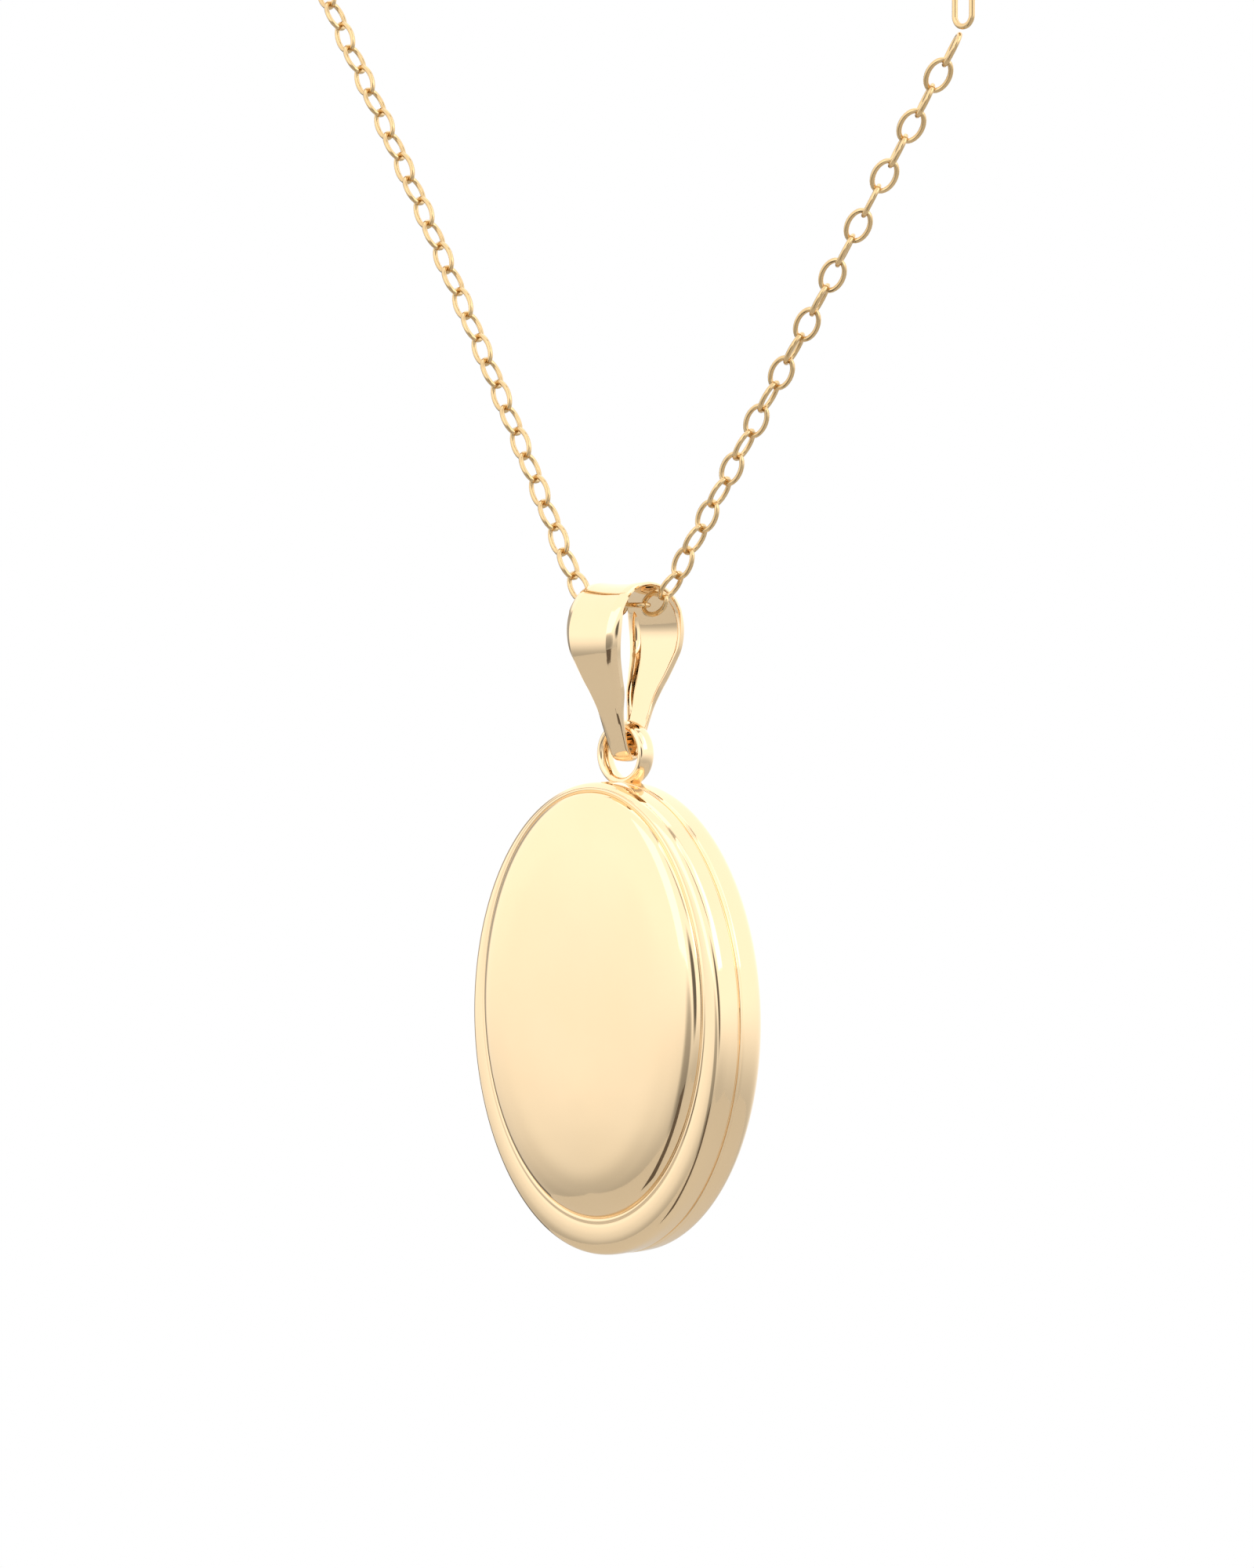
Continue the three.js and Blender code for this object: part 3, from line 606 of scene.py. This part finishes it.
claspBolt = makeClaspBolt()
finishPiece(claspLink, "chain", "polished_gold", "clasp_link")
finishPiece(claspEye, "chain", "polished_gold", "clasp_eye")
finishPiece(claspCase, "chain", "polished_gold", "clasp_case")
finishPiece(claspBolt, "clasp_bolt", "polished_gold", "clasp_bolt")
print("stage: chain ends and clasp")

# case: two pressed oval shells
case = {
    "halfWidth": 11.1, "halfHeight": 15.05, "wall": 0.45, "seamGap": 0.06, "segments": 240,
    "lift": 0.9, "notchLength": 2.4, "notchDepth": 0.2, "notchReach": 0.14, "faceSharp": 50.0,
    "middleInset": 10.9, "middleHalf": 0.02,  # rows this far in shrink to the middle of the face
}
# how the case hangs in its ring, and the ring's foot
hang = {
    "ringToSeat": 9.4506, "ringOuter": 2.15, "ringThickness": 0.7, "ringBand": 1.3, "ringToSeam": 1.25,
    "seatToCentre": 26.2506, "footHalf": 0.9, "footDepth": 0.3, "footTop": 0.4, "footInset": 0.08,
}
hinge = {"radius": 0.5, "pin": 0.25, "gap": 0.04, "sink": 0.22, "length": 1.3, "space": 0.12, "count": 5,
         "room": 0.12, "edge": 0.06, "lugReach": 0.8, "lugBack": 0.1, "lugIn": 0.42, "lugStart": 0.06,
         "lugShort": 0.02}
seamY = -hang["ringToSeam"]
caseZ = -hang["seatToCentre"]
hingeX = -(case["halfWidth"] + hinge["radius"] - hinge["sink"])
# rows are inset from the edge, depth from the seam, and share of the plateau's lift
frontProfile = [
    (0.06, -0.10, 0), (0.015, -0.13, 0), (0.00, -0.20, 0), (0.00, -0.70, 0), (0.015, -1.10, 0),
    (0.08, -1.40, 0), (0.20, -1.60, 0.02), (0.38, -1.73, 0.10), (0.60, -1.81, 0.28), (0.84, -1.845, 0.55),
    (1.06, -1.85, 0.78), (1.18, -1.84, 0.88), (1.22, -1.845, 0.91), (1.28, -1.88, 0.94), (1.37, -1.89, 0.97),
    (1.45, -1.86, 1), (1.49, -1.82, 1), (1.53, -1.85, 1), (1.58, -1.97, 1),
    (1.69, -2.14, 1), (1.88, -2.31, 1), (2.16, -2.46, 1), (2.58, -2.60, 1), (3.20, -2.73, 1),
    (4.20, -2.87, 1), (5.60, -2.96, 1), (7.40, -3.04, 1), (9.40, -3.09, 1), (11.0, -3.10, 1),
]
backProfile = [
    (0.12, -0.06, 0), (0.12, 0.08, 0), (0.05, 0.10, 0), (0.01, 0.14, 0), (0.00, 0.20, 0), (0.01, 0.28, 0),
    (0.045, 0.33, 0), (0.045, 0.36, 0), (0.015, 0.42, 0), (0.00, 0.55, 0), (0.00, 1.20, 0), (0.03, 1.65, 0),
    (0.14, 2.0, 0), (0.38, 2.36, 0), (0.75, 2.60, 0), (1.30, 2.77, 0), (2.2, 2.89, 0), (3.6, 2.97, 0),
    (4.6, 3.0, 0), (11.0, 3.0, 0),
]


def profileRow(inset, y, liftShare):
    # one oval of points round the case
    halfX, halfZ = case["halfWidth"] - inset, case["halfHeight"] - inset
    if inset >= case["middleInset"]:
        halfX = halfZ = case["middleHalf"]
    middleZ = liftShare * case["lift"]
    turns = [2 * math.pi * s / case["segments"] for s in range(case["segments"])]
    return [(halfX * math.sin(a), y + seamY, halfZ * math.cos(a) + middleZ + caseZ) for a in turns]


def closedLoft(name, rows, material, sharp=bluntest):
    # rows run from one middle to the other, and each middle is closed by one face
    points = [p for row in rows for p in row]
    count = case["segments"]
    faces = ringFaces(len(rows), count)
    faces.append(tuple(range(count)))
    faces.append(tuple((len(rows) - 1) * count + s for s in range(count)))
    return makePiece(name, points, faces, material, sharp)


def shellPiece(name, profile, towards, cutters):
    # towards is -1 for the front half and 1 for the back half
    outer = smoothRow(profile, 4)
    wall = case["wall"]
    clear = case["seamGap"] / 2 + 0.1  # the lining starts this far from the seam
    hollow = [r for r in profile if r[1] * towards - wall > clear and r[0] < case["middleInset"]]
    lining = [(inset + wall, y - towards * wall, lift) for inset, y, lift in hollow]
    mouth = (wall, towards * case["seamGap"] / 2, 0)
    floor = (profile[-1][0], profile[-1][1] - towards * wall, profile[-1][2])
    rows = [profileRow(*r) for r in list(reversed(outer)) + [mouth] + lining + [floor]]
    piece = closedLoft(name, rows, goldPlate, case["faceSharp"])
    return cutPiece(piece, cutters, goldPlate, sharp=case["faceSharp"])


def hingeCutter():
    length = (hinge["length"] + hinge["space"]) * hinge["count"] + 2 * hinge["space"]
    r = hinge["radius"] + hinge["room"]
    profile = [(poleRadius, -length / 2), (r, -length / 2), (r, length / 2), (poleRadius, length / 2)]
    return lathe("hingeCutter", profile, (hingeX, seamY, caseZ), "Z", goldPlate, 48, False)


def notchCutter():
    # finger notch with rounded ends in the front rim
    half, deep = case["notchLength"] / 2, case["notchDepth"]
    end = [(-half - 0.1, 0.12), (-half, -0.02), (-half + 0.12, -deep * 0.7), (-half + 0.35, -deep)]
    edge = end + [(-z, y) for z, y in reversed(end)]
    sides = (case["halfWidth"] - case["notchReach"], case["halfWidth"] + 1)
    points = [(x, y + seamY, z + caseZ) for x in sides for z, y in edge]
    n = len(edge)
    faces = [tuple(range(n)), tuple(range(n, 2 * n))]
    faces += [(i, (i + 1) % n, n + (i + 1) % n, n + i) for i in range(n)]
    return makePiece("notchCutter", points, faces, goldPlate)


frontCover = shellPiece("frontCover", frontProfile, -1, [hingeCutter(), notchCutter()])
backCase = shellPiece("backCase", backProfile, 1, [hingeCutter()])
finishPiece(frontCover, "cover", "polished_gold", "front_cover")
finishPiece(backCase, "locket", "polished_gold", "back_case")
print("stage: case")


# eye ring: wire of oval section, wide across, with a small foot soldered into the case
def makeEyeRing():
    outer, half = hang["ringOuter"], hang["ringBand"] / 2
    inner = outer - hang["ringThickness"]
    middle, thick = (outer + inner) / 2, (outer - inner) / 2
    turns = [2 * math.pi * i / 28 for i in range(28)]
    profile = [(middle + thick * math.cos(a), half * math.sin(a)) for a in turns]
    ring = lathe("eyeRing", profile, (0, 0, -hang["ringToSeat"]), "Y", goldPlate, 120)
    low, wide, deep = -hang["ringToSeat"] - outer, hang["footHalf"], half - hang["footInset"]
    foot = boxPiece("ringFoot", (-wide, -deep, low - hang["footDepth"]), (wide, deep, low + hang["footTop"]),
                    goldPlate)
    return cutPiece(ring, [foot], goldPlate, "UNION")


finishPiece(makeEyeRing(), "locket", "polished_gold", "eye_ring")

# bail: a strip folded into a drop, its edges turned in
bailParts = {
    "toChain": 0.2, "strip": 0.32, "topStrip": 0.4, "edgeStrip": 0.24,
    # places across the strip and where its parts start, all as shares of its half width
    "across": [1, 0.99, 0.955, 0.9, 0.82, 0.77, 0.74, 0.72, 0.7, 0.64, 0.5, 0.25, 0],
    "crease": 0.72, "rimStart": 0.74, "rimRun": 0.06, "rollStart": 0.9, "roll": 0.07,
    # what changes down the bail: depth below the top, and the size there
    "innerRim": [(0.0, 0.0), (1.5, 0.05), (3.0, 0.2), (7.0, 0.2), (8.5, 0.05), (9.3, 0.0), (12.0, 0.0)],
    "crown": [(0.0, -0.14), (1.5, -0.04), (3.0, 0.06), (12.0, 0.08)],
    "turnIn": [(0.0, 0.06), (1.5, 0.18), (3.0, 0.32), (5.5, 0.32), (7.5, 0.24), (9.3, 0.08), (12.0, 0.04)],
    "halves": [(-0.4, 2.2), (1.0, 2.3), (2.2, 2.32), (3.3, 2.26), (4.4, 2.12), (5.2, 1.92), (6.2, 1.66),
               (7.1, 1.4), (8.25, 1.06), (10.0, 0.86), (12.0, 0.78)],
    # half the fold, from the top down: distance from the middle, depth below the top
    "outline": [(0.0, 0.0), (0.85, 0.11), (1.65, 0.42), (2.36, 0.95), (2.96, 1.66), (3.34, 2.45), (3.49, 3.3),
                (3.42, 4.3), (3.12, 5.2), (2.66, 6.2), (2.18, 7.1), (1.68, 8.3), (1.18, 9.6), (0.88, 10.4),
                (0.6, 11.0), (0.3, 11.32), (0.0, 11.4)],
}
bailTop = chainParts["linkWidth"] / 2 + bailParts["toChain"] + bailParts["topStrip"]


def readRow(rows, at):
    # a smooth curve through the rows, read at one height
    fine = smoothRow(rows, 12)
    for (a, b), (c, d) in zip(fine, fine[1:]):
        if a <= at <= c:
            return b + (d - b) * (at - a) / max(c - a, 1e-9)
    return fine[0][1] if at < fine[0][0] else fine[-1][1]


def makeBail():
    side = smoothRow(bailParts["outline"], 8)
    loop = [(y, bailTop - down) for y, down in side]
    loop += [(-y, z) for y, z in reversed(loop[1:-1])]
    path = []
    for i, (y, z) in enumerate(loop):
        before, after = loop[i - 1], loop[(i + 1) % len(loop)]
        along = Vector((after[0] - before[0], after[1] - before[1])).normalized()
        path.append((y, z, -along.y, along.x))
    across = [-u for u in bailParts["across"]] + list(reversed(bailParts["across"][:-1]))
    points = []
    for y, z, ny, nz in path:
        down = bailTop - z
        half = readRow(bailParts["halves"], down)
        turnIn = readRow(bailParts["turnIn"], down)
        crown = readRow(bailParts["crown"], down)
        rim = readRow(bailParts["innerRim"], down)
        outer, inner = [], []
        for u in across:
            slope = max(0.0, (abs(u) - bailParts["crease"]) / (1 - bailParts["crease"]))
            drop = turnIn * slope + crown * u * u
            edge = max(0.0, (abs(u) - bailParts["rollStart"]) / (1 - bailParts["rollStart"]))
            roll = bailParts["roll"] * edge * edge
            border = min(1.0, max(0.0, (abs(u) - bailParts["rimStart"]) / bailParts["rimRun"]))
            thick = bailParts["strip"] + (bailParts["edgeStrip"] - bailParts["strip"]) * slope + rim * border
            outer.append((half * u, y - ny * (drop + roll), z - nz * (drop + roll)))
            inner.append((half * u, y - ny * (drop + thick - roll), z - nz * (drop + thick - roll)))
        points += outer + list(reversed(inner))
    return makePiece("bail", points, ringFaces(len(path), 2 * len(across), True), goldPlate, 30.0)


finishPiece(makeBail(), "bail", "polished_gold", "bail")
print("stage: ring and bail")


# hinge: barrels with lugs soldered to each half, and a pin with rounded ends
def makeKnuckle(index):
    side = 1 if index % 2 == 0 else -1
    pitch = hinge["length"] + hinge["space"]
    z = caseZ + (index - (hinge["count"] - 1) / 2) * pitch
    half, r, b, e = hinge["length"] / 2, hinge["radius"], hinge["pin"] + hinge["gap"], hinge["edge"]
    barrel = lathe("hingeBarrel" + str(index + 1), [
        (b, -half + e), (b + e, -half), (r - e, -half), (r, -half + e),
        (r, half - e), (r - e, half), (b + e, half), (b, half - e)], (hingeX, seamY, z), "Z", goldPlate, 48)
    yNear, yFar = sorted((side * (b + hinge["lugStart"]), side * hinge["lugReach"]))
    short = half - hinge["lugShort"]
    lug = boxPiece("lug", (hingeX - hinge["lugBack"], seamY + yNear, z - short),
                   (hingeX + hinge["lugIn"], seamY + yFar, z + short), goldPlate)
    return cutPiece(barrel, [lug], goldPlate, "UNION")


for index in range(hinge["count"]):
    node = "hinge_knuckle_" + ("back_" if index % 2 == 0 else "front_") + str(index // 2 + 1)
    finishPiece(makeKnuckle(index), "locket" if index % 2 == 0 else "cover", "polished_gold", node)
pinHalf = ((hinge["length"] + hinge["space"]) * hinge["count"] - hinge["space"]) / 2
pinEnd = [(poleRadius, pinHalf), (hinge["pin"] * 0.7, pinHalf - 0.02), (hinge["pin"], pinHalf - 0.1)]
pinProfile = [(radius, -along) for radius, along in pinEnd] + list(reversed(pinEnd))
hingePin = lathe("hingePin", pinProfile, (hingeX, seamY, caseZ), "Z", drawnSteel, 32, False)
finishPiece(hingePin, "locket", "spring_steel", "hinge_pin")
print("stage: hinge")

# inside each half: rim with its ledge, frame, window and a blank card
inside = {
    "rimBand": 0.4, "rimLip": 0.38, "rimFit": 0.15, "rimTop": 0.35, "bevel": 0.05, "plateBevel": 0.03,
    "ledge": 0.12, "ledgeWidth": 0.9, "ledgeOut": 0.05, "ledgeBevel": 0.02,
    "frame": 0.22, "frameWidth": 0.9, "frameToRim": 0.2, "stackTop": 0.12, "layer": 0.04,
    "window": 0.2, "windowIn": 0.1, "photo": 0.12, "photoIn": 0.15,
    "snapShare": 0.8, "snapShort": 0.05, "snapBevel": 0.08,
}


def ovalBand(name, insetOut, insetIn, y0, y1, material, bevel=inside["bevel"]):
    low, high = min(y0, y1), max(y0, y1)
    e = min(bevel, (high - low) / 3, (insetIn - insetOut) / 3)
    corners = [(insetOut, low + e), (insetOut, high - e), (insetOut + e, high), (insetIn - e, high),
               (insetIn, high - e), (insetIn, low + e), (insetIn - e, low), (insetOut + e, low)]
    points = [p for inset, y in corners for p in profileRow(inset, y, 0)]
    return makePiece(name, points, ringFaces(len(corners), case["segments"], True), material)


def ovalPlate(name, inset, y0, y1, material):
    low, high, e = min(y0, y1), max(y0, y1), inside["plateBevel"]
    corners = [(inset + e, low), (inset, low + e), (inset, high - e), (inset + e, high)]
    return closedLoft(name, [profileRow(across, y, 0) for across, y in corners], material)


def addInside(side, towards, body):
    # layers run from the seam to the bottom of each half
    frameInset = case["wall"] + inside["rimFit"] + inside["rimBand"] + inside["frameToRim"]
    depth = inside["stackTop"]
    layers = {}
    for name in ("frame", "window", "photo", "ledge"):
        layers[name] = (towards * depth, towards * (depth + inside[name]))
        depth += inside[name] + inside["layer"]
    bandStart = inside["rimTop"] if towards > 0 else inside["rimLip"] + inside["rimFit"]
    outer = case["wall"] + inside["rimFit"]
    rim = ovalBand(side + "Rim", outer, outer + inside["rimBand"], towards * bandStart,
                   layers["ledge"][1], dippedGold)
    ledge = ovalBand("ledge", outer + inside["ledgeOut"], frameInset + inside["ledgeWidth"],
                     *layers["ledge"], dippedGold, inside["ledgeBevel"])
    finishPiece(cutPiece(rim, [ledge], dippedGold, "UNION"), body, "inner_gold", side + "_inner_rim")
    band = ovalBand(side + "Frame", frameInset, frameInset + inside["frameWidth"], *layers["frame"], dippedGold)
    finishPiece(band, body, "inner_gold", side + "_photo_frame")
    pane = ovalPlate(side + "Window", frameInset + inside["windowIn"], *layers["window"], clearSheet)
    finishPiece(pane, body, "clear_window", side + "_window")
    photo = ovalPlate(side + "Photo", frameInset + inside["photoIn"], *layers["photo"], card)
    finishPiece(photo, body, "photo_paper", side + "_photo_blank")


addInside("front", -1, "cover")
addInside("back", 1, "locket")
snapInset = case["wall"] + inside["rimFit"]
snapRim = ovalBand("snapRim", snapInset, snapInset + inside["rimBand"] * inside["snapShare"],
                   -inside["rimLip"], inside["rimTop"] - inside["snapShort"], dippedGold, inside["snapBevel"])
finishPiece(snapRim, "locket", "inner_gold", "snap_rim")
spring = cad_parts["clasp_spring"]
spring.data.materials.clear()
spring.data.materials.append(drawnSteel)
print("stage: inside")
